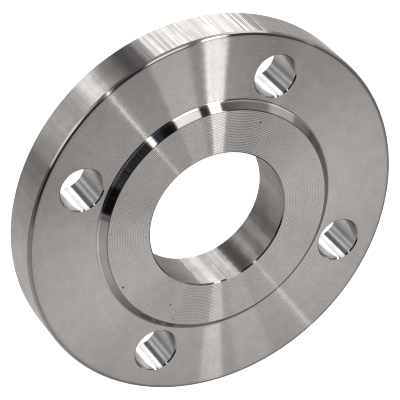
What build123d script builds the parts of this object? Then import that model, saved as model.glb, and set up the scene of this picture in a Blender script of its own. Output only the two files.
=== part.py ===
from build123d import *
import os
from math import cos, pi, sin

os.makedirs("parts", exist_ok=True)

# Slip-on pipe flange with a raised sealing face, turned and drilled from one plate.
# Frame: origin at the centre of the back face, +Z along the flange axis towards
# the raised sealing face. Millimetres.

# ---- driving dimensions ----
outer_dia = 160.0            # rim of the plate
plate_thickness = 19.0       # back face to bolting face
bore_dia = 59.0              # clearance bore for a pipe of 57 mm outside diameter
bolt_circle_dia = 125.0
bolt_hole_dia = 18.0         # clearance holes for M16 bolts
bolt_hole_count = 4
bolt_hole_start_deg = 45.0   # holes straddle the X and Y axes
raised_face_foot_dia = 102.0 # where the bevel would meet the bolting face
raised_face_height = 3.0
raised_face_bevel_deg = 45.0
foot_fillet_radius = 0.8     # left by the nose of the turning tool
raised_face_edge_break = 0.2
rim_chamfer = 1.0
bore_chamfer = 0.5
bolt_hole_chamfer = 0.5

# ---- derived ----
outer_r = outer_dia / 2
bore_r = bore_dia / 2
bolt_hole_r = bolt_hole_dia / 2
top_z = plate_thickness + raised_face_height
foot_r = raised_face_foot_dia / 2
crest_r = foot_r - raised_face_height / (
    sin(raised_face_bevel_deg * pi / 180) / cos(raised_face_bevel_deg * pi / 180)
)

# ---- the flange: one turned section, then the drilled bolt holes ----
with BuildPart() as slip_on_flange:
    # half section in the X-Z plane, walked from the bore's back edge outwards
    with BuildSketch(Plane.XZ) as section:
        with BuildLine() as outline:
            Polyline(
                (bore_r + bore_chamfer, 0),
                (outer_r - rim_chamfer, 0),
                (outer_r, rim_chamfer),
                (outer_r, plate_thickness - rim_chamfer),
                (outer_r - rim_chamfer, plate_thickness),
                (foot_r, plate_thickness),
                (crest_r, top_z),
                (bore_r + bore_chamfer, top_z),
                (bore_r, top_z - bore_chamfer),
                (bore_r, bore_chamfer),
                close=True,
            )
        make_face()
        # tool radius where the bevel runs into the bolting face
        foot_corner = section.vertices().sort_by_distance((foot_r, 0, plate_thickness))[0]
        fillet(foot_corner, radius=foot_fillet_radius)
        # light edge break round the sealing face
        crest_corner = section.vertices().sort_by_distance((crest_r, 0, top_z))[0]
        chamfer(crest_corner, length=raised_face_edge_break)
    revolve(axis=Axis.Z, revolution_arc=360)

    # bolt holes straight through the plate
    with BuildSketch(Plane.XY.offset(plate_thickness)) as bolt_circle:
        with PolarLocations(bolt_circle_dia / 2, bolt_hole_count, start_angle=bolt_hole_start_deg):
            Circle(bolt_hole_r)
    extrude(amount=-plate_thickness, mode=Mode.SUBTRACT)

    # both mouths of every bolt hole are chamfered
    bolt_hole_mouths = (
        slip_on_flange.edges()
        .filter_by(GeomType.CIRCLE)
        .filter_by(lambda e: abs(e.radius - bolt_hole_r) < 1e-6)
    )
    chamfer(bolt_hole_mouths, length=bolt_hole_chamfer)

slip_on_flange.part.label = "slip_on_flange"
export_step(slip_on_flange.part, "parts/slip_on_flange.step")

box = slip_on_flange.part.bounding_box()
print("solids", len(slip_on_flange.part.solids()))
print("size", round(box.size.X, 3), round(box.size.Y, 3), round(box.size.Z, 3))
print("volume mm3", round(slip_on_flange.part.volume, 1))
print("mass at 7.93 g/cm3", round(slip_on_flange.part.volume * 7.93e-6, 3), "kg")
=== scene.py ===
import math

import bpy
import numpy as np
from mathutils import Matrix, Vector, geometry


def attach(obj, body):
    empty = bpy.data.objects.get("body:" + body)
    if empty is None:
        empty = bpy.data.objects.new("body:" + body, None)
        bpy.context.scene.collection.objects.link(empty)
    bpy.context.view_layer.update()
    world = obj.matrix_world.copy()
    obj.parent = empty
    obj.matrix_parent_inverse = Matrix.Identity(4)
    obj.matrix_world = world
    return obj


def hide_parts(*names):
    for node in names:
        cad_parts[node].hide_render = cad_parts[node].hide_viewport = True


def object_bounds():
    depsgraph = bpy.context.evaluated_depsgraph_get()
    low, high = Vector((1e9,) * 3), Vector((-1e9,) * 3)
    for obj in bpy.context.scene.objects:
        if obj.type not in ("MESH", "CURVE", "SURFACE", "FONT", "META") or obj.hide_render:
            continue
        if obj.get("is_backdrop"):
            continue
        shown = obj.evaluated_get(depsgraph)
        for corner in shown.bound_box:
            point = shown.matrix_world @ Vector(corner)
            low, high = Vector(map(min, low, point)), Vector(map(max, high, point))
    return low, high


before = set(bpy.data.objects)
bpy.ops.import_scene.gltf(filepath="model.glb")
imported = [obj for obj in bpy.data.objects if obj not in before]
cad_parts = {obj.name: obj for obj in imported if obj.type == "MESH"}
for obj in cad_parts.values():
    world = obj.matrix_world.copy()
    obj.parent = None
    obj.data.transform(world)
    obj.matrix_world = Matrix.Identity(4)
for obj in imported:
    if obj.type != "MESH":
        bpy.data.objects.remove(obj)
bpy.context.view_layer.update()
scene = bpy.context.scene

# Slip-on flange, turned and drilled. Millimetres in the mesh code, metres in the mesh.
MM = 0.001
COLS = 384            # divisions of every turned surface
HOLE_COLS = 96        # divisions of every bolt hole
THICK, TOP = 19.0, 22.0
R_BORE, R_RIM = 29.5, 80.0
R_CREST = 48.2        # where the bevel line meets the sealing face
PCD, R_HOLE, HOLE_CH = 125.0, 9.0, 0.5
PITCH = 0.70          # lead of the spiral serration
GROOVE = 0.027        # its depth
NOSE = 1.2            # nose radius of the tool that turned the foot of the bevel
STUDIO = 28.87        # turn between the part's X axis and the studio's, degrees

HOLES = [
    (PCD / 2 * math.cos(math.radians(a)), PCD / 2 * math.sin(math.radians(a)))
    for a in (45, 135, 225, 315)
]

ZONES = ["face", "serrated", "crest", "bevel", "seam", "foot", "lip", "edge", "mouth", "rim", "bore", "hole", "drilled", "back"]
ZI = {n: i for i, n in enumerate(ZONES)}


# ------------------------------------------------------------------ mesh
class Shell:
    """Collects faces with one normal per corner; equal corners share a vertex."""

    def __init__(self):
        self.key, self.co, self.faces, self.normals, self.zones = {}, [], [], [], []

    def vert(self, x, y, z):
        k = (round(x, 5), round(y, 5), round(z, 5))
        if k not in self.key:
            self.key[k] = len(self.co)
            self.co.append((x * MM, y * MM, z * MM))
        return self.key[k]

    def face(self, pts, nrm, zone):
        ids = [self.vert(*p) for p in pts]
        keep_i, keep_n = [], []
        for k, i in enumerate(ids):
            if i != ids[k - 1]:
                keep_i.append(i)
                keep_n.append(nrm[k])
        if len(set(keep_i)) < 3:
            return
        self.faces.append(keep_i)
        self.normals.extend(keep_n)
        self.zones.append(ZI[zone])

    def build(self, name):
        me = bpy.data.meshes.new(name)
        me.from_pydata(self.co, [], self.faces)
        me.polygons.foreach_set("material_index", self.zones)
        me.polygons.foreach_set("use_smooth", [True] * len(self.faces))
        me.normals_split_custom_set(self.normals)
        me.update()
        ob = bpy.data.objects.new(name, me)
        scene.collection.objects.link(ob)
        return ob


def line(a, b, parts=1):
    """Straight stretch of the section from a to b, with its normal."""
    d = np.array(b, float) - np.array(a, float)
    n = np.array([-d[1], d[0]]) / np.hypot(*d)
    return [
        (a[0] + d[0] * k / parts, a[1] + d[1] * k / parts, n[0], n[1])
        for k in range(parts + 1)
    ]


def rounded(pts, radii, steps=5):
    """Section through corner points whose corners are rounded with these radii."""
    pts = [np.array(p, float) for p in pts]
    out = [list(pts[0])]
    d0 = (pts[1] - pts[0]) / np.hypot(*(pts[1] - pts[0]))
    path = [(pts[0][0], pts[0][1], -d0[1], d0[0])]
    for k in range(1, len(pts) - 1):
        a = (pts[k] - pts[k - 1]) / np.hypot(*(pts[k] - pts[k - 1]))
        b = (pts[k + 1] - pts[k]) / np.hypot(*(pts[k + 1] - pts[k]))
        na, nb = np.array([-a[1], a[0]]), np.array([-b[1], b[0]])
        turn = math.acos(max(-1, min(1, float(a @ b))))
        t = radii[k - 1] * math.tan(turn / 2)
        c = pts[k] - a * t - na * radii[k - 1]
        if a[0] * b[1] - a[1] * b[0] > 0:      # a hollow corner
            c = pts[k] - a * t + na * radii[k - 1]
        for s in range(steps + 1):
            w = s / steps
            n = na * math.sin((1 - w) * turn) + nb * math.sin(w * turn)
            n /= np.hypot(*n)
            sign = -1 if a[0] * b[1] - a[1] * b[0] > 0 else 1
            p = c + sign * n * radii[k - 1]
            path.append((p[0], p[1], n[0], n[1]))
    dl = (pts[-1] - pts[-2]) / np.hypot(*(pts[-1] - pts[-2]))
    path.append((pts[-1][0], pts[-1][1], -dl[1], dl[0]))
    return path


def revolve(shell, path, zone, cols=COLS, centre=(0.0, 0.0), flip=False):
    """Sweeps a section round the axis through centre. Each stretch keeps its own corner normals."""
    ang = [2 * math.pi * j / cols for j in range(cols)]
    cs = [(math.cos(a), math.sin(a)) for a in ang]
    for (r0, z0, nr0, nz0), (r1, z1, nr1, nz1) in zip(path, path[1:]):
        if abs(r0 - r1) + abs(z0 - z1) < 1e-6:
            continue
        for j in range(cols):
            c0, s0 = cs[j]
            c1, s1 = cs[(j + 1) % cols]
            p = [
                (centre[0] + r0 * c0, centre[1] + r0 * s0, z0),
                (centre[0] + r1 * c0, centre[1] + r1 * s0, z1),
                (centre[0] + r1 * c1, centre[1] + r1 * s1, z1),
                (centre[0] + r0 * c1, centre[1] + r0 * s1, z0),
            ]
            n = [
                (nr0 * c0, nr0 * s0, nz0),
                (nr1 * c0, nr1 * s0, nz1),
                (nr1 * c1, nr1 * s1, nz1),
                (nr0 * c1, nr0 * s1, nz0),
            ]
            if flip:
                p, n = p[::-1], n[::-1]
            shell.face(p, n, zone)


def drilled_annulus(shell, z, r_in, r_out, up, zone):
    """Flat ring with the four hole mouths left open."""
    pts, edges = [], []

    def ring(r, n, cx=0.0, cy=0.0, closed=True, turn=0.0):
        first = len(pts)
        for j in range(n):
            a = 2 * math.pi * (j + turn) / n
            pts.append(Vector((cx + r * math.cos(a), cy + r * math.sin(a))))
        if closed:
            edges.extend((first + j, first + (j + 1) % n) for j in range(n))

    ring(r_in, COLS)
    ring(r_out, COLS)
    for cx, cy in HOLES:
        ring(R_HOLE + HOLE_CH, HOLE_COLS, cx, cy)
    for k, r in enumerate(np.linspace(r_in, r_out, 9)[1:-1]):
        n = 144
        for j in range(n):
            a = 2 * math.pi * (j + 0.5 * (k % 2)) / n
            x, y = r * math.cos(a), r * math.sin(a)
            if all(math.hypot(x - cx, y - cy) > R_HOLE + HOLE_CH + 0.8 for cx, cy in HOLES):
                pts.append(Vector((x, y)))
    v2, _, tris, *_ = geometry.delaunay_2d_cdt(pts, edges, [], 0, 1e-6)
    n3 = (0.0, 0.0, 1.0 if up else -1.0)
    for t in tris:
        p = [v2[i] for i in t]
        c = (p[0] + p[1] + p[2]) / 3
        if not (r_in < c.length + 0.02 and c.length < r_out):
            continue
        if c.length < r_in or any(
            math.hypot(c.x - cx, c.y - cy) < R_HOLE + HOLE_CH - 1e-4 for cx, cy in HOLES
        ):
            continue
        if (p[1] - p[0]).cross(p[2] - p[0]) < 0:
            p = p[::-1]
        if not up:
            p = p[::-1]
        shell.face([(q.x, q.y, z) for q in p], [n3] * 3, zone)


def groove_phase(deg):
    """Turns of the spiral at this angle round the part: one more turn for each time round, with the small run-out of the tool."""
    return (deg + 14.0 - 33.0 * math.sin(math.radians(deg - 92.0))) / 360.0


def serrate(shell, r_in, r_out):
    """The spiral of shallow round grooves cut into the sealing face."""
    depth = GROOVE
    per = 6
    k0 = int(math.floor((39.0 - r_out) / PITCH - 3)) * per
    k1 = int(math.ceil((39.0 - r_in) / PITCH + 2)) * per

    def row(k, deg):
        return 39.0 - PITCH * (k / per + groove_phase(deg))

    def height(r, f):
        fade = min(1.0, max(0.0, (r - r_in) / 0.4), max(0.0, (r_out - r) / 0.6))
        return TOP - depth * fade * (1 - 4 * (f - 0.5) ** 2), fade

    grid = {}
    for j in range(COLS + 1):
        deg = 360.0 * j / COLS
        for k in range(k0, k1 + 1):
            grid[j, k] = min(r_out, max(r_in, row(k, deg)))
    for j in range(COLS):
        c0, s0 = math.cos(2 * math.pi * j / COLS), math.sin(2 * math.pi * j / COLS)
        jj = (j + 1) % COLS
        c1, s1 = math.cos(2 * math.pi * jj / COLS), math.sin(2 * math.pi * jj / COLS)
        for k in range(k0, k1):
            corners = []
            for col, c, s, kk in ((j, c0, s0, k + 1), (j, c0, s0, k), (j + 1, c1, s1, k), (j + 1, c1, s1, k + 1)):
                r = grid[col, kk]
                f = (k % per + (1 if kk == k + 1 else 0)) / per
                z, fade = height(r, f)
                nr = 8 * depth * fade * (f - 0.5) / PITCH
                q = math.hypot(nr, 1.0)
                corners.append(((r * c, r * s, z), (nr / q * c, nr / q * s, 1 / q)))
            if max(abs(a[0][0] - b[0][0]) + abs(a[0][1] - b[0][1]) for a in corners[:2] for b in corners[:2]) < 1e-6 and \
               max(abs(a[0][0] - b[0][0]) + abs(a[0][1] - b[0][1]) for a in corners[2:] for b in corners[2:]) < 1e-6:
                continue
            shell.face([a[0] for a in corners], [a[1] for a in corners], "serrated")


shell = Shell()
# rim corner: a steep break, a flatter one inside it and a lip, all slightly rounded; the lip carries painted shade
rim_edge = rounded(
    [(78.0, THICK), (78.55, THICK), (78.9, THICK - 0.08), (79.47, THICK - 0.35), (R_RIM, THICK - 1.12), (R_RIM, 10.0)],
    [0.4, 0.4, 0.25, 0.3], 3,
)[1:-1]
LIP = 5               # stretches of it that are the lip
R_FACE_OUT, Z_RIM_TOP = rim_edge[0][0], rim_edge[-1][1]
mouth = rounded([(R_BORE, 10.0), (R_BORE, TOP - 0.5), (R_BORE + 0.5, TOP), (34.0, TOP)], [0.12, 0.12], 2)[1:-1]
Z_BORE_TOP, R_RF_IN = mouth[0][1], mouth[-1][0]
crest = rounded([(40.0, TOP), (R_CREST, TOP), (R_CREST + 2.0, TOP - 2.0)], [0.8], 4)[1:-1]
R_RF_OUT = crest[0][0]

# the bevel, and the hollow that the tool's nose leaves at its foot, with the low seam between the two cuts
foot_out, foot_turn = 51.8, math.radians(60.0)
foot = []
for s in range(9):
    a = foot_turn * (1 - s / 8)
    foot.append((foot_out - NOSE * math.sin(a), THICK + NOSE * (1 - math.cos(a)), math.sin(a), math.cos(a)))
kink = foot[0]
seam_in = (kink[0] - 0.33, kink[1] + 0.32)
bev = line((crest[-1][0], crest[-1][1]), seam_in)
bn = bev[0][2:]
seam = [(*seam_in, *bn), (kink[0] - 0.07, kink[1] + 0.07, *bn)]
foot = [(*seam[1][:2], *bn), (kink[0], kink[1], *bn)] + foot[1:]

revolve(shell, line((R_BORE, 0.5), (R_BORE, Z_BORE_TOP), 5), "bore")
revolve(shell, mouth, "mouth")
serrate(shell, R_RF_IN, R_RF_OUT)
revolve(shell, crest, "crest")
revolve(shell, bev, "bevel")
revolve(shell, seam, "seam")
revolve(shell, foot, "foot")
drilled_annulus(shell, THICK, foot[-1][0], R_FACE_OUT, True, "face")
revolve(shell, rim_edge[:LIP + 1], "lip")
revolve(shell, rim_edge[LIP:], "edge")
revolve(shell, line((R_RIM, Z_RIM_TOP), (R_RIM, THICK - Z_RIM_TOP), 5), "rim")
back_edge = [(r, THICK - z, nr, -nz) for r, z, nr, nz in rim_edge[::-1]]
revolve(shell, back_edge, "edge")
drilled_annulus(shell, 0.0, R_BORE + 0.5, R_FACE_OUT, False, "back")
revolve(shell, line((R_BORE + 0.5, 0.0), (R_BORE, 0.5)), "edge")
for hx, hy in HOLES:
    for path, zone in (
        (line((R_HOLE + HOLE_CH, 0.0), (R_HOLE, HOLE_CH)), "drilled"),
        (line((R_HOLE, HOLE_CH), (R_HOLE, THICK - HOLE_CH), 5), "hole"),
        (line((R_HOLE, THICK - HOLE_CH), (R_HOLE + HOLE_CH, THICK)), "drilled"),
    ):
        revolve(shell, path, zone, HOLE_COLS, (hx, hy))

flange = shell.build("flange_turned")


# ------------------------------------------------------------------ nodes
class Nodes:
    """Short forms for building a node tree."""

    def __init__(self, tree):
        self.t = tree
        tree.nodes.clear()

    def new(self, kind, **props):
        n = self.t.nodes.new(kind)
        for k, v in props.items():
            setattr(n, k, v)
        return n

    def put(self, socket, value):
        if isinstance(value, bpy.types.NodeSocket):
            self.t.links.new(value, socket)
        elif value is not None:
            socket.default_value = value

    def m(self, op, a, b=None, c=None, clamp=False):
        n = self.new("ShaderNodeMath", operation=op, use_clamp=clamp)
        for s, v in zip(n.inputs, (a, b, c)):
            self.put(s, v)
        return n.outputs[0]

    def v(self, op, a, b=None, scale=None):
        n = self.new("ShaderNodeVectorMath", operation=op)
        self.put(n.inputs[0], a)
        if b is not None:
            self.put(n.inputs[1], b)
        if scale is not None:
            self.put(n.inputs["Scale"], scale)
        return n.outputs["Value"] if op in ("DOT_PRODUCT", "LENGTH", "DISTANCE") else n.outputs["Vector"]

    def xyz(self, a):
        n = self.new("ShaderNodeSeparateXYZ")
        self.put(n.inputs[0], a)
        return n.outputs

    def vec(self, x, y, z):
        n = self.new("ShaderNodeCombineXYZ")
        for s, v in zip(n.inputs, (x, y, z)):
            self.put(s, v)
        return n.outputs[0]

    def noise(self, vector=None, scale=1.0, detail=0.0, rough=0.5, dims="3D", w=None, distortion=0.0):
        n = self.new("ShaderNodeTexNoise", noise_dimensions=dims)
        if vector is not None:
            self.put(n.inputs["Vector"], vector)
        if w is not None:
            self.put(n.inputs["W"], w)
        n.inputs["Scale"].default_value = scale
        n.inputs["Detail"].default_value = detail
        n.inputs["Roughness"].default_value = rough
        n.inputs["Distortion"].default_value = distortion
        return n.outputs["Fac"]

    def ramp(self, x, lo, hi, a=0.0, b=1.0, mode="SMOOTHSTEP"):
        n = self.new("ShaderNodeMapRange", interpolation_type=mode)
        for s, v in zip(n.inputs, (x, lo, hi, a, b)):
            self.put(s, v)
        return n.outputs[0]

    def mixf(self, t, a, b):
        n = self.new("ShaderNodeMix", data_type="FLOAT")
        self.put(n.inputs[0], t)
        self.put(n.inputs[2], a)
        self.put(n.inputs[3], b)
        return n.outputs[0]

    def mixc(self, t, a, b, blend="MIX"):
        n = self.new("ShaderNodeMix", data_type="RGBA", blend_type=blend)
        self.put(n.inputs[0], t)
        self.put(n.inputs[6], a)
        self.put(n.inputs[7], b)
        return n.outputs[2]


STEEL = (0.62, 0.585, 0.562, 1.0)
DRILLED = (0.597, 0.585, 0.577, 1.0)   # the hole walls keep a cooler cut; their brightness is painted light, set by the tone of their material
PITS = (              # small dark pits on the sealing face: x, y, z, size
    (-46.1, -4.9, 22.0, 0.75), (30.9, 30.8, 22.0, 0.6), (-31.6, -25.0, 22.0, 0.55), (-40.1, -19.0, 22.0, 0.35),
    (-33.1, -31.6, 22.0, 0.4), (-21.5, -39.5, 22.0, 0.4), (-41.8, 20.8, 22.0, 0.35), (-29.6, 10.8, 22.0, 0.35),
    (-25.5, -16.0, 22.0, 0.4), (-24.9, -18.4, 22.0, 0.35), (-41.0, 3.8, 22.0, 0.3),
)


def steel(name, lay="ring", across=0.1, along=0.004, path="r", haze=0.15, haze_rough=0.34,
          ridges=((0.3, 0.0),), wander=0.0, wander_size=3.0, cloud=0.05, cloud_size=9.0, haze_cloud=0.0,
          chatter=0.0, chatter_waves=((1.6, 1.0),), tone=1.0, marks=None, skew=0.0, grain=0.0, grain_size=0.6,
          fade=None, bend=0.0, marked=(), streaks=(), crest_shade=0.0, metal=STEEL):
    """Machined stainless steel. The lay of the tool runs round the part (or round each hole): the shine is wide
    across the lay and narrow along it, over a weak even haze. ridges tip the normal across the lay, wander and
    chatter tip it along the lay. skew is the mean slope of the feed ridges, which are steeper on one side. Slopes
    are rms values; sizes are millimetres. fade is a change of tone between two radii. bend is a slight hollow of the
    plate along one direction, as slope for each millimetre. marked and streaks are stretches of stronger chatter
    marks and of lines across the lay: azimuth, half width, softness, strength, size. crest_shade paints shade: it
    darkens the sharp tops between the grooves of the spiral and lightens their hollows a little."""
    mat = bpy.data.materials.new(name)
    mat.use_nodes = True
    g = Nodes(mat.node_tree)
    out = g.new("ShaderNodeOutputMaterial")
    bsdf = g.new("ShaderNodeBsdfPrincipled")
    shine = g.new("ShaderNodeBsdfAnisotropic", distribution="MULTI_GGX")
    mixer = g.new("ShaderNodeMixShader")
    mixer.inputs[0].default_value = 1.0 - haze
    g.t.links.new(bsdf.outputs[0], mixer.inputs[1])
    g.t.links.new(shine.outputs[0], mixer.inputs[2])
    g.t.links.new(mixer.outputs[0], out.inputs[0])
    pos = g.v("SCALE", g.new("ShaderNodeTexCoord").outputs["Object"], scale=1000.0)
    x, y, z = g.xyz(pos)
    if lay == "hole":
        c = PCD / 2 * math.sqrt(0.5)
        cx = g.m("MULTIPLY", g.m("SIGN", x), c)
        cy = g.m("MULTIPLY", g.m("SIGN", y), c)
        lx, ly = g.m("SUBTRACT", x, cx), g.m("SUBTRACT", y, cy)
    else:
        lx, ly = x, y
    r = g.m("SQRT", g.m("ADD", g.m("MULTIPLY", lx, lx), g.m("MULTIPLY", ly, ly)))
    inv = g.m("DIVIDE", 1.0, g.m("MAXIMUM", r, 0.001))
    ux, uy = g.m("MULTIPLY", lx, inv), g.m("MULTIPLY", ly, inv)
    circ = g.vec(g.m("MULTIPLY", uy, -1.0), ux, 0.0)
    normal = g.new("ShaderNodeNewGeometry").outputs["Normal"]
    side_on = g.v("NORMALIZE", g.v("CROSS_PRODUCT", circ, normal))
    w = {"r": r, "z": z, "s": g.m("MULTIPLY", g.m("SUBTRACT", r, z), 0.7071)}[path]

    def centred(fac, rms):
        return g.m("MULTIPLY", g.m("SUBTRACT", fac, 0.5), 7.0 * rms)

    n2 = normal
    if skew:
        n2 = g.v("ADD", n2, g.v("SCALE", side_on, scale=skew))
    for size, rms in ridges:
        if rms:
            # a long thin pattern: short across the lay, long along it
            nz = g.noise(g.vec(g.m("MULTIPLY", w, 1.0 / size), g.m("MULTIPLY", ux, 3.0), g.m("MULTIPLY", uy, 3.0)))
            n2 = g.v("ADD", n2, g.v("SCALE", side_on, scale=centred(nz, rms)))
    side = None
    if chatter:
        radius = {"rim": R_RIM, "bore": R_BORE, "hole": R_HOLE}.get(name.split("_")[-1], R_RIM)
        for size, weight in chatter_waves:
            k = radius / size
            nz = g.noise(g.vec(g.m("MULTIPLY", ux, k), g.m("MULTIPLY", uy, k), g.m("MULTIPLY", z, 0.06 / size)))
            part = centred(nz, chatter * weight)
            side = part if side is None else g.m("ADD", side, part)
    def stretch(centre, wide, soft):
        c = math.radians(centre)
        dot = g.m("ADD", g.m("MULTIPLY", ux, math.cos(c)), g.m("MULTIPLY", uy, math.sin(c)))
        off = g.m("MULTIPLY", g.m("ARCCOSINE", g.m("MINIMUM", dot, 1.0)), 180 / math.pi)
        return g.ramp(off, wide - soft, wide + soft, 1.0, 0.0)

    def lines_across(size, radius):
        k = radius / size
        return g.noise(g.vec(g.m("MULTIPLY", ux, k), g.m("MULTIPLY", uy, k), g.m("MULTIPLY", z, 0.012 / size)))

    around = R_BORE if name.endswith("bore") else R_RIM
    for centre, wide, soft, rms, size in marked:
        part = g.m("MULTIPLY", centred(lines_across(size, around), rms), stretch(centre, wide, soft))
        side = part if side is None else g.m("ADD", side, part)
    if wander:
        part = centred(g.noise(g.v("SCALE", pos, scale=1.0 / wander_size), detail=1.0), wander)
        side = part if side is None else g.m("ADD", side, part)
    if side is not None:
        n2 = g.v("ADD", n2, g.v("SCALE", circ, scale=side))
    if bend:
        along_bend = g.m("ADD", g.m("MULTIPLY", x, -0.2778), g.m("MULTIPLY", y, 0.9606))
        n2 = g.v("ADD", n2, g.v("SCALE", (-0.2778, 0.9606, 0.0), scale=g.m("MULTIPLY", along_bend, bend)))
    n2 = g.v("NORMALIZE", n2)

    # colour: slow clouds of cutting fluid film and handling
    cl = g.noise(g.v("SCALE", pos, scale=1.0 / cloud_size), detail=3.0, rough=0.55)
    shade = g.ramp(cl, 0.3, 0.7, 1.0 - cloud, 1.0 + cloud)
    # tone scales the colour of the steel; in the zones where it is set well away from 1 it is painted shade or painted
    # light
    base = tuple(c * tone for c in metal[:3]) + (1.0,)
    warm = g.mixc(g.noise(g.v("SCALE", pos, scale=1.0 / 14.0), detail=2.0),
                  (base[0] * 0.985, base[1], base[2] * 1.02, 1.0), (base[0] * 1.015, base[1], base[2] * 0.98, 1.0))
    if grain:
        fine = g.noise(g.v("SCALE", pos, scale=1.0 / grain_size), detail=2.0, rough=0.6)
        shade = g.m("MULTIPLY", shade, g.ramp(fine, 0.25, 0.75, 1.0 - grain, 1.0 + grain, mode="LINEAR"))
    for centre, wide, soft, amount, size in streaks:
        tint = g.ramp(lines_across(size, around), 0.3, 0.7, -amount, amount)
        shade = g.m("MULTIPLY", shade, g.m("ADD", 1.0, g.m("MULTIPLY", tint, stretch(centre, wide, soft))))
    # painted shade: darker lines along the sharp tops of the spiral grooves, lighter lines in the hollows between them
    if crest_shade:
        turn = g.m("DIVIDE", g.m("ARCTAN2", y, x), 2 * math.pi)
        lean = g.m("SUBTRACT", g.m("MULTIPLY", uy, math.cos(math.radians(92.0))),
                   g.m("MULTIPLY", ux, math.sin(math.radians(92.0))))
        where = g.m("SUBTRACT", g.m("SUBTRACT", g.m("DIVIDE", g.m("SUBTRACT", 39.0, r), PITCH), turn),
                    g.m("SUBTRACT", 14.0 / 360.0, g.m("MULTIPLY", lean, 33.0 / 360.0)))
        off = g.m("ABSOLUTE", g.m("SUBTRACT", g.m("FRACT", where), 0.5))
        shade = g.m("MULTIPLY", shade, g.ramp(off, 0.12, 0.46, 1.0 + 0.3 * crest_shade, 1.0 - crest_shade))
    if fade:
        for r_a, r_b, t_a, t_b in fade:
            shade = g.m("MULTIPLY", shade, g.ramp(r, r_a, r_b, t_a, t_b, mode="LINEAR"))
    shaded = g.v("SCALE", warm, scale=shade)
    if marks:
        dark = None
        for (mx, my, mz, size) in marks:
            d = g.v("DISTANCE", pos, (mx, my, mz))
            k = g.ramp(d, size * 0.4, size, 1.0, 0.0)
            dark = k if dark is None else g.m("MAXIMUM", dark, k)
        shaded = g.v("SCALE", shaded, scale=g.m("SUBTRACT", 1.0, g.m("MULTIPLY", dark, 0.75)))

    ratio = math.sqrt(along / across)
    for n in (bsdf, shine):
        g.t.links.new(n2, n.inputs["Normal"])
    g.t.links.new(circ, shine.inputs["Tangent"])
    g.t.links.new(shaded, bsdf.inputs["Base Color"])
    g.t.links.new(shaded, shine.inputs["Color"])
    shine.inputs["Roughness"].default_value = math.sqrt(across * ratio)
    shine.inputs["Anisotropy"].default_value = 1.0 - ratio
    g.t.links.new(g.ramp(cl, 0.3, 0.7, haze_rough + haze_cloud, haze_rough - haze_cloud), bsdf.inputs["Roughness"])
    bsdf.inputs["Metallic"].default_value = 1.0
    return mat


MATS = {
    "face": steel("steel_faced", across=0.2, along=0.003, haze=0.1, skew=0.077, ridges=((0.35, 0.009),), wander=0.0009,
                  wander_size=2.2, cloud=0.035, cloud_size=6.0, haze_cloud=0.03, grain=0.15, grain_size=0.45, bend=0.00018,
                  fade=((52.0, 78.0, 1.07, 0.94), (77.3, 78.6, 1.0, 0.9))),
    # the serrated face carries painted shade along the tops of its grooves
    "serrated": steel("steel_serrated", across=0.15, along=0.003, haze=0.1, skew=0.042, wander=0.0003, wander_size=2.5,
                      cloud=0.04, cloud_size=6.0, grain=0.06, grain_size=0.45, bend=0.00018, marks=PITS,
                      crest_shade=0.13, tone=1.02),
    # painted shade: the crest, the bevel and the seam are darker copies of the steel (tone 0.49 and 0.6), standing for
    # the shade they show
    "crest": steel("steel_crest", path="s", across=0.05, along=0.004, haze=0.01, tone=0.49, wander=0.001, cloud=0.04),
    "bevel": steel("steel_bevel", path="s", across=0.04, along=0.004, haze=0.0, tone=0.6, ridges=((0.3, 0.008),),
                   wander=0.001, cloud=0.04),
    "seam": steel("steel_seam", path="s", across=0.1, along=0.005, haze=0.0, tone=0.6, cloud=0.06),
    "foot": steel("steel_foot", path="s", across=0.04, along=0.004, haze=0.0, tone=0.94, ridges=((0.3, 0.008),),
                  wander=0.001, cloud=0.04),
    # painted shade: the lip is a darker copy of the steel (tone 0.5), the dark line along the inside of the rim corner
    "lip": steel("steel_lip", path="s", across=0.06, along=0.005, haze=0.05, tone=0.5, wander=0.002, cloud=0.06),
    # painted shade: the edges and the bore mouth are darker copies of the steel (tone 0.55 and 0.42)
    "edge": steel("steel_edges", path="s", across=0.05, along=0.005, haze=0.03, tone=0.55, wander=0.002, cloud=0.05),
    "mouth": steel("steel_mouths", path="s", across=0.08, along=0.008, haze=0.04, tone=0.42, wander=0.002, cloud=0.05),
    "rim": steel("steel_rim", path="z", tone=0.97, across=0.1, along=0.003, skew=-0.09, ridges=((0.5, 0.01),), wander=0.002,
                 wander_size=6.0, cloud=0.06, cloud_size=6.0, haze_cloud=0.05, grain=0.07, grain_size=0.5,
                 marked=((59.0, 6.5, 2.5, 0.06, 0.5), (72.0, 10.0, 5.0, 0.012, 0.6)),
                 streaks=((72.0, 17.0, 3.0, 0.2, 0.38),)),
    # painted shade: the bore is a darker copy of the steel (tone 0.68), standing for the shade inside it
    "bore": steel("steel_bore", path="z", across=0.1, along=0.006, skew=-0.09, ridges=((0.5, 0.01),), tone=0.68,
                  wander=0.008, wander_size=5.0, cloud=0.11, cloud_size=7.0, haze_cloud=0.05, grain=0.06,
                  streaks=((262.0, 7.0, 2.5, 0.16, 0.3),)),
    # painted light: the hole walls are a lighter copy of the steel (tone 1.13), standing for the brighter light they
    # reflect
    "hole": steel("steel_hole", lay="hole", path="z", across=0.08, along=0.008, haze=0.05, tone=1.13, skew=-0.09,
                  ridges=((0.4, 0.01),), wander=0.003, wander_size=2.5, cloud=0.08, grain=0.04, metal=DRILLED),
    # painted shade: the hole mouths are a darker copy of the steel (tone 0.6)
    "drilled": steel("steel_hole_mouths", lay="hole", path="z", across=0.06, along=0.008, haze=0.04, tone=0.6,
                     wander=0.003, cloud=0.06, metal=DRILLED),
    "back": steel("steel_back", across=0.15, along=0.006, skew=0.04, ridges=((0.6, 0.03),), wander=0.001,
                  wander_size=2.5, cloud=0.035, haze_cloud=0.03, grain=0.06),
}
for n in ZONES:
    flange.data.materials.append(MATS[n])

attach(flange, "root")
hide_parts("slip_on_flange")

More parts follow.
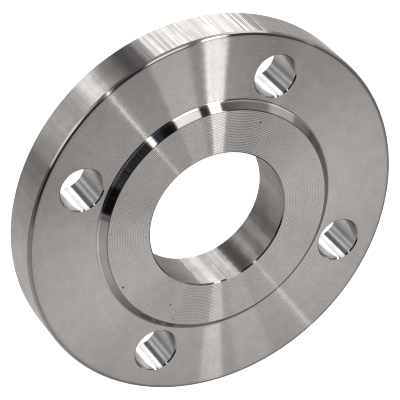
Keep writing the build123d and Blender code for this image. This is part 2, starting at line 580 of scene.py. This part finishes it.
# ------------------------------------------------------------------ floor
fm = bpy.data.meshes.new("floor")
S = 4.0
fm.from_pydata([(-S, -S, -0.00003), (S, -S, -0.00003), (S, S, -0.00003), (-S, S, -0.00003)], [], [(0, 1, 2, 3)])
floor = bpy.data.objects.new("floor", fm)
scene.collection.objects.link(floor)
mat = bpy.data.materials.new("floor_pale")
mat.use_nodes = True
g = Nodes(mat.node_tree)
out = g.new("ShaderNodeOutputMaterial")
dif = g.new("ShaderNodeBsdfDiffuse")
dif.inputs[0].default_value = (0.1, 0.1, 0.1, 1)
emi = g.new("ShaderNodeEmission")
emi.inputs[0].default_value = (1, 1, 1, 1)
emi.inputs[1].default_value = 0.99
add = g.new("ShaderNodeAddShader")
g.t.links.new(dif.outputs[0], add.inputs[0])
g.t.links.new(emi.outputs[0], add.inputs[1])
clear = g.new("ShaderNodeBsdfTransparent")
mix = g.new("ShaderNodeMixShader")
g.t.links.new(g.new("ShaderNodeNewGeometry").outputs["Backfacing"], mix.inputs[0])
g.t.links.new(add.outputs[0], mix.inputs[1])
g.t.links.new(clear.outputs[0], mix.inputs[2])
g.t.links.new(mix.outputs[0], out.inputs[0])
fm.materials.append(mat)
floor.visible_glossy = False
floor.visible_shadow = False
floor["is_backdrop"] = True

# ------------------------------------------------------------------ studio
# One surround of soft boxes and dark flags. A place in it is given by the surface that mirrors it to the
# camera's side: that surface's azimuth round the part and its tilt from flat, in degrees.
world = bpy.data.worlds.new("studio")
scene.world = world
world.use_nodes = True
g = Nodes(world.node_tree)
az0, el0 = math.radians(134.95), math.radians(50.9)
V0 = (math.cos(el0) * math.cos(az0), math.cos(el0) * math.sin(az0), math.sin(el0))
d = g.new("ShaderNodeTexCoord").outputs["Generated"]
rot = g.new("ShaderNodeVectorRotate", rotation_type="Z_AXIS")
g.put(rot.inputs["Vector"], d)
rot.inputs["Angle"].default_value = math.radians(STUDIO)
half = g.v("NORMALIZE", g.v("ADD", rot.outputs[0], V0))
hx, hy, hz = g.xyz(half)
az = g.m("MULTIPLY", g.m("ARCTAN2", hy, hx), 180 / math.pi)
tilt = g.m("MULTIPLY", g.m("ARCCOSINE", g.m("MINIMUM", g.m("MAXIMUM", hz, -1.0), 1.0)), 180 / math.pi)


def sector(c, w, soft):
    off = g.m("PINGPONG", g.m("SUBTRACT", az, c), 180.0)
    return g.ramp(off, w + soft, max(0.0, w - soft), 0.0, 1.0) if soft else g.m("LESS_THAN", off, w)


def between(x, lo, hi, soft):
    up = g.ramp(x, lo - soft, lo + soft, 0.0, 1.0)
    dn = g.ramp(x, hi - soft, hi + soft, 1.0, 0.0)
    return g.m("MULTIPLY", up, dn)


def belt(stops):
    """Light level round the part, straight between the given azimuths."""
    ramp = g.new("ShaderNodeValToRGB")
    marks = ramp.color_ramp.elements
    first, last = stops[0], stops[-1]
    if first[0] > 0.0:
        join = last[1] + (first[1] - last[1]) * (360.0 - last[0]) / (360.0 - last[0] + first[0])
        stops = [(0.0, join)] + list(stops) + [(360.0, join)]
    while len(marks) < len(stops):
        marks.new(0.5)
    for k, (a, v) in enumerate(stops):
        marks[k].position = a / 360.0
        marks[k].color = (v / 2, v / 2, v / 2, 1.0)
    g.put(ramp.inputs[0], g.m("FRACT", g.m("DIVIDE", az, 360.0)))
    return g.m("MULTIPLY", ramp.outputs[0], 2.0)


# Belts of light, each covering the ones before it from its own tilt on.
BELTS = [
    # overhead: open behind the part and to its sides, dark towards the camera
    (3.5, 2.5, ((0, 0.6), (15, 0.52), (30, 0.44), (45, 0.4), (60, 0.28), (75, 0.17), (90, 0.6), (105, 0.38),
                (120, 0.38), (135, 0.38), (150, 0.28), (165, 0.16), (180, 0.26), (195, 0.3), (210, 0.5), (225, 0.5),
                (240, 0.42), (255, 0.56), (270, 0.44), (285, 0.46), (300, 0.42), (315, 0.6), (330, 0.7), (345, 0.66),
                (360, 0.6))),
    (10.0, 2.5, ((0, 0.75), (15, 0.75), (30, 0.63), (45, 0.29), (60, 0.11), (75, 0.03), (108, 0.05), (120, 0.14), (135, 0.24),
                 (150, 0.31), (165, 0.34), (180, 0.47), (195, 0.66), (210, 0.65), (225, 0.8), (240, 0.55), (255, 0.59),
                 (270, 0.51), (285, 0.5), (300, 0.56), (315, 0.7), (330, 0.78), (345, 0.72), (360, 0.75))),
    # low overhead
    (19.0, 1.5, ((0, 0.51), (15, 0.54), (30, 0.4), (45, 0.3), (60, 0.3), (72, 0.22), (82, 0.13), (93, 0.08),
                 (104, 0.4), (106, 0.4), (120, 0.14), (135, 0.07), (150, 0.08), (165, 0.13), (172, 0.3), (180, 0.58),
                 (195, 0.74), (210, 0.7), (225, 0.65), (240, 0.53), (255, 0.5), (270, 0.52), (285, 0.52),
                 (300, 0.43), (315, 0.43), (330, 0.45), (345, 0.46), (360, 0.51))),
    # round the reflections of the bevel (tilt about 45)
    (32.0, 3.0, ((0, 0.32), (10, 0.4), (26, 0.42), (30, 0.32), (33, 0.16), (36, 0.32), (41, 0.16), (45, 0.38),
                 (54, 0.46), (56, 1.0), (69, 1.04), (71.5, 0.5), (80, 0.43), (90, 0.26), (105, 0.08), (120, 0.16),
                 (172.6, 0.3), (174.4, 0.3), (175.0, 0.2), (176.4, 0.2), (177.2, 0.62), (190, 0.82), (205, 0.8),
                 (222, 0.43), (240, 0.22), (265, 0.26), (279, 0.54), (287, 0.3), (330, 0.3), (360, 0.32))),
    # round the steep break of the rim corner (tilt about 57)
    (53.0, 2.0, ((0, 0.5), (52, 0.6), (57, 0.85), (70, 0.8), (80, 0.55), (82.6, 2.4), (92, 2.4), (98, 0.9), (98.8, 0.6),
                 (103, 0.6), (104, 0.5), (118.5, 0.5), (119.5, 0.3), (130, 0.2), (132, 0.38), (135.5, 0.38),
                 (138, 0.75), (142, 1.1), (146, 2.2), (155, 1.8), (158.8, 1.6), (159.8, 0.26), (166, 0.26),
                 (176, 0.3), (190, 0.6), (205, 0.9), (225, 1.0), (240, 0.6), (360, 0.5))),
    # round the rim (tilt under 90) and the bore (tilt over 90)
    (77.0, 3.0, ((0, 0.56), (57, 0.85), (61, 0.57), (66, 0.56), (78, 0.55), (116, 0.25), (117, 0.03), (124.5, 0.03),
                 (126, 0.25), (130, 0.42), (132, 0.85), (134, 1.4), (136, 1.85), (138, 1.2), (140, 0.7), (143, 0.47),
                 (153, 0.4), (156, 0.31), (162, 0.25), (168, 0.31), (174, 0.46), (180, 0.53), (190, 0.67),
                 (207, 0.72), (213, 0.95), (225, 0.6), (360, 0.56))),
    (90.0, 2.0, ((0, 0.13), (42, 0.13), (57, 0.468), (66, 0.52), (78, 0.637), (117, 1.17), (120, 0.221), (126, 0.117), (130, 0.169),
                 (132, 0.39), (137, 0.52), (139, 0.351), (145, 0.299), (147, 0.585), (153, 0.624), (155, 0.286), (163, 0.26),
                 (168, 0.39), (174, 0.442), (190, 0.598), (205, 0.546), (212, 0.26), (235, 0.156), (360, 0.13))),
]
MID, LID, UNDER, ALL = (32.0, 53.0, 3.0), (77.0, 90.0, 2.5), (90.0, 126.0, 2.5), (19.0, 53.0, 1.5)
PANELS = [
    # centre, half width, softness, (tilt from, tilt to, softness), level
    (66.0, 1.5, 1.0, (21.0, 32.0, 2.0), 0.9),
    # the dark zone on the camera's side
    (104.6, 2.0, 0.4, MID, 0.05),
    (146.0, 26.7, 0.6, ALL, 0.036),
    (123.4, 4.3, 0.8, ALL, 0.01),
    (128.8, 2.2, 1.0, MID, 0.05),
    (156.5, 2.5, 1.5, MID, 0.06),
    (166.4, 6.9, 0.4, ALL, 0.006),
    (192.0, 18.0, 7.0, (21.5, 27.5, 1.5), 0.35),
    (175.0, 4.0, 1.5, (21.0, 32.0, 1.5), 0.12),
    # soft boxes
    (97.4, 3.9, 0.3, (9.0, 22.0, 2.0), 2.45),
    (97.4, 3.8, 0.35, (20.0, 32.0, 2.0), 4.0),
    (98.9, 2.6, 0.6, (32.0, 53.0, 3.0), 5.2),
    (96.0, 0.45, 0.35, (9.0, 21.0, 2.0), 1.65),
    (98.5, 0.5, 0.35, (9.0, 21.0, 2.0), 1.6),
    (96.0, 0.45, 0.35, (21.0, 40.0, 2.0), 2.9),
    (98.5, 0.5, 0.35, (21.0, 40.0, 2.0), 2.8),
    (112.9, 6.3, 1.3, (19.0, 22.0, 1.5), 1.0),
    (112.9, 6.3, 1.3, (22.0, 33.0, 1.5), 2.3),
    (112.9, 6.3, 0.5, (33.0, 53.0, 1.5), 2.25),
    (133.2, 2.2, 1.4, (22.0, 28.0, 1.5), 0.3),
    (133.2, 0.42, 0.15, (17.0, 32.0, 2.0), 5.6),
    (132.7, 1.15, 0.7, (32.0, 53.0, 2.0), 3.6),
    (133.2, 0.5, 0.3, (53.0, 66.0, 2.0), 2.5),
    (313.2, 0.5, 0.25, (12.0, 32.0, 2.0), 1.8),
    (313.2, 0.6, 0.3, MID, 1.6),
    # the tall boxes seen in the rim and the bore
    (100.4, 15.6, 0.25, LID, 1.4),
    (94.3, 3.2, 1.5, LID, 1.75),
    (106.0, 4.5, 2.0, LID, 1.65),
    (101.8, 16.8, 0.4, UNDER, 1.46),
    (97.0, 4.5, 2.5, UNDER, 2.2),
    (105.0, 4.0, 2.0, UNDER, 1.24),
    (115.0, 3.0, 2.0, UNDER, 1.75),
]
level = 0.95
for lo, soft, stops in BELTS:
    level = g.mixf(g.ramp(tilt, lo - soft, lo + soft), level, belt(stops))
for c, w, s, (lo, hi, ts), value in PANELS:
    level = g.mixf(g.m("MULTIPLY", sector(c, w, s), between(tilt, lo, hi, ts)), level, value)
# the boxes aren't quite even: soft upright folds
folds = g.noise(w=az, scale=0.6, detail=2.0, rough=0.6, dims="1D")
pleat = g.ramp(folds, 0.3, 0.7, 0.92, 1.07)
level = g.m("MULTIPLY", level, g.mixf(g.ramp(tilt, 60.0, 78.0, 0.0, 1.0), 1.0, pleat))
dim = g.ramp(level, 0.02, 0.1, 1.0, 0.0)
level = g.m("MULTIPLY", level, g.mixf(dim, 1.0, g.ramp(folds, 0.35, 0.7, 0.5, 1.9)))
tone = g.mixc(g.ramp(level, 0.02, 0.12), (0.93, 0.98, 1.08, 1), (1.015, 1.0, 0.985, 1))
tone = g.mixc(g.ramp(level, 0.1, 0.3), tone, (1.0, 1.0, 1.0, 1))
tone = g.mixc(g.ramp(level, 0.6, 1.15), tone, (0.985, 1.0, 1.0, 1))
blue = g.m("MULTIPLY", g.m("MULTIPLY", sector(129.3, 2.0, 1.5), between(tilt, 30.0, 53.0, 3.0)), 0.7)
tone = g.mixc(blue, tone, (0.8, 0.95, 1.4, 1))
light = g.v("SCALE", tone, scale=level)
bg = g.new("ShaderNodeBackground")
g.t.links.new(light, bg.inputs[0])
plain = g.new("ShaderNodeBackground")
plain.inputs[0].default_value = (0.93, 0.93, 0.93, 1)
mixw = g.new("ShaderNodeMixShader")
g.t.links.new(g.new("ShaderNodeLightPath").outputs["Is Camera Ray"], mixw.inputs[0])
g.t.links.new(bg.outputs[0], mixw.inputs[1])
g.t.links.new(plain.outputs[0], mixw.inputs[2])
g.t.links.new(mixw.outputs[0], g.new("ShaderNodeOutputWorld").inputs[0])
world.cycles.sampling_method = "MANUAL"
world.cycles.sample_map_resolution = 2048

# ------------------------------------------------------------------ camera
cam = bpy.data.cameras.new("camera")
camera = bpy.data.objects.new("camera", cam)
scene.collection.objects.link(camera)
cam.sensor_width = 36.0
cam.lens = 227.1142
cam.clip_start, cam.clip_end = 0.05, 50.0
camera.matrix_world = Matrix((
    (0.84508385, 0.50478227, -0.17614807, -0.17842540),
    (-0.30919393, 0.73023367, 0.60922729, 0.61744803),
    (0.43615639, -0.46038423, 0.7731843, 0.78908498),
    (0, 0, 0, 1),
))
scene.camera = camera

scene.view_settings.view_transform = "Standard"
scene.view_settings.look = "None"
scene.cycles.filter_width = 1.0
scene.cycles.max_bounces = 6
scene.cycles.glossy_bounces = 4
scene.cycles.diffuse_bounces = 2
scene.cycles.sample_clamp_indirect = 4.0

lo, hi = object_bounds()
print("triangles", sum(len(p) - 2 for p in shell.faces), "verts", len(shell.co), "denoise", scene.cycles.use_denoising)
